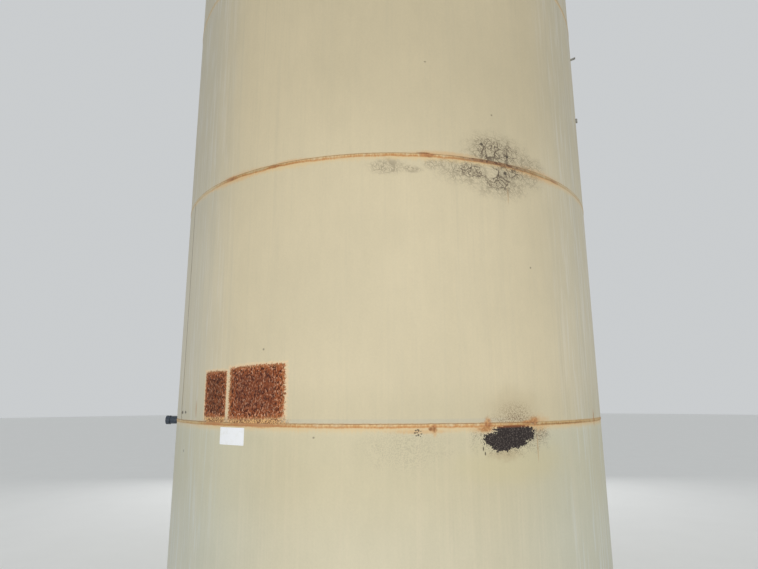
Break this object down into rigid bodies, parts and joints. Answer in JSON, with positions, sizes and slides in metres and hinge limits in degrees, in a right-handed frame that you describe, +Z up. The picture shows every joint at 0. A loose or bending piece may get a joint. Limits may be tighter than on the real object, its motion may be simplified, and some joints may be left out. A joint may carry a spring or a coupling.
{
  "type": "vertical storage tank",
  "caption": "Upright cylindrical steel storage tank with a flat bottom, welded ring courses, a flanged low cone roof with a manway, lifting lugs and pipe nozzles.",
  "frame": {"origin": "on the tank's axis, at the underside of the bottom plate", "axes": "+Z up along the tank's axis; +Y towards the nozzles and the manway, so the pictured front is towards -Y; +X right"},
  "size_m": [3.4091, 3.3782, 6.0835],
  "materials": {
    "cream_paint": "weathered cream paint with rust stains",
    "rusty_weld": "orange rust bleeding through cream paint",
    "dark_rust": "dark brown rust, matte",
    "yellow_rust": "yellow-brown rust and old primer, matte",
    "bare_steel": "dull grey steel",
    "dark_paint": "dark blue-grey paint, satin"
  },
  "bodies": {
    "root": {"bottom_plate": "cream_paint", "course_1_back": "cream_paint", "course_1_front": "cream_paint", "course_2_back": "cream_paint", "course_2_front": "cream_paint", "course_3_back": "cream_paint", "course_3_front": "cream_paint", "course_4_back": "cream_paint", "course_4_front": "cream_paint", "roof_back": "cream_paint", "roof_front": "cream_paint", "lifting_lug_1": "cream_paint", "lifting_lug_2": "cream_paint", "lug_pad_1": "cream_paint", "lug_pad_2": "cream_paint", "manway_neck": "cream_paint", "vent_coupling": "cream_paint", "upper_nozzle_neck": "cream_paint", "outlet_neck": "cream_paint", "outlet_pad": "cream_paint", "foot_weld": "rusty_weld", "girth_weld_1": "rusty_weld", "girth_weld_2": "rusty_weld", "girth_weld_3": "rusty_weld", "rim_weld": "rusty_weld", "roof_weld": "rusty_weld", "manway_flange": "dark_rust", "manway_cover": "dark_rust", "vent_plug": "dark_rust", "upper_clip": "dark_rust", "lower_clip": "dark_rust", "upper_nozzle_flange": "yellow_rust", "outlet_flange": "yellow_rust", "coupling_pad": "yellow_rust", "lower_coupling": "yellow_rust", "coupling_plug": "bare_steel", "side_nipple": "dark_paint", "side_cap": "dark_paint"}
  },
  "joints": []
}
